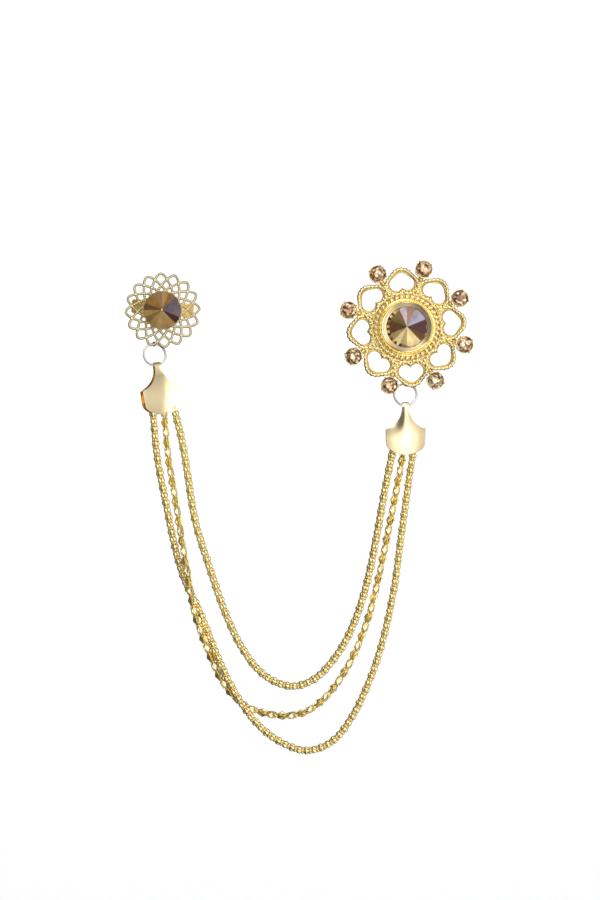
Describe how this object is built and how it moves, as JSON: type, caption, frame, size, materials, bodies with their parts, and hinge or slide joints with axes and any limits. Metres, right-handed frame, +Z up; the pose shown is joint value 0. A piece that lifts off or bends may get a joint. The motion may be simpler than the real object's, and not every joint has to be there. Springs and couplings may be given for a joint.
{
  "type": "lapel chain",
  "caption": "Lapel chain: a heart-petal openwork brooch and a filigree brooch with brown faceted stones, joined by three hanging gold chains.",
  "frame": {"origin": "middle of the large brooch's bar pin, on the back face that lies on the cloth", "axes": "+X right, +Z up, the front faces -Y; the cloth's face is the plane y = 0"},
  "size_m": [0.1092, 0.0092, 0.1544],
  "materials": {
    "cast_gold": "bright plated casting",
    "filigree_gold": "bright plated stamping",
    "sheet_gold": "polished plated sheet",
    "chain_gold": "bright plated",
    "pin_gold": "plain plated",
    "ring_silver": "polished wire",
    "brown_stone": "foil-backed cut glass",
    "champagne_stone": "foil-backed cut glass"
  },
  "bodies": {
    "root": {"large_rosette": "cast_gold", "large_stone": "brown_stone", "rim_stone_1": "champagne_stone", "rim_stone_2": "champagne_stone", "rim_stone_3": "champagne_stone", "rim_stone_4": "champagne_stone", "rim_stone_5": "champagne_stone", "rim_stone_6": "champagne_stone", "rim_stone_7": "champagne_stone", "rim_stone_8": "champagne_stone", "large_bar_pin": "pin_gold", "small_filigree": "filigree_gold", "small_stone": "brown_stone", "small_bar_pin": "pin_gold", "large_jump_ring": "ring_silver", "small_jump_ring": "ring_silver", "large_end_cap": "sheet_gold", "small_end_cap": "sheet_gold", "strand_inner": "chain_gold", "strand_middle": "chain_gold", "strand_outer": "chain_gold"}
  },
  "joints": []
}
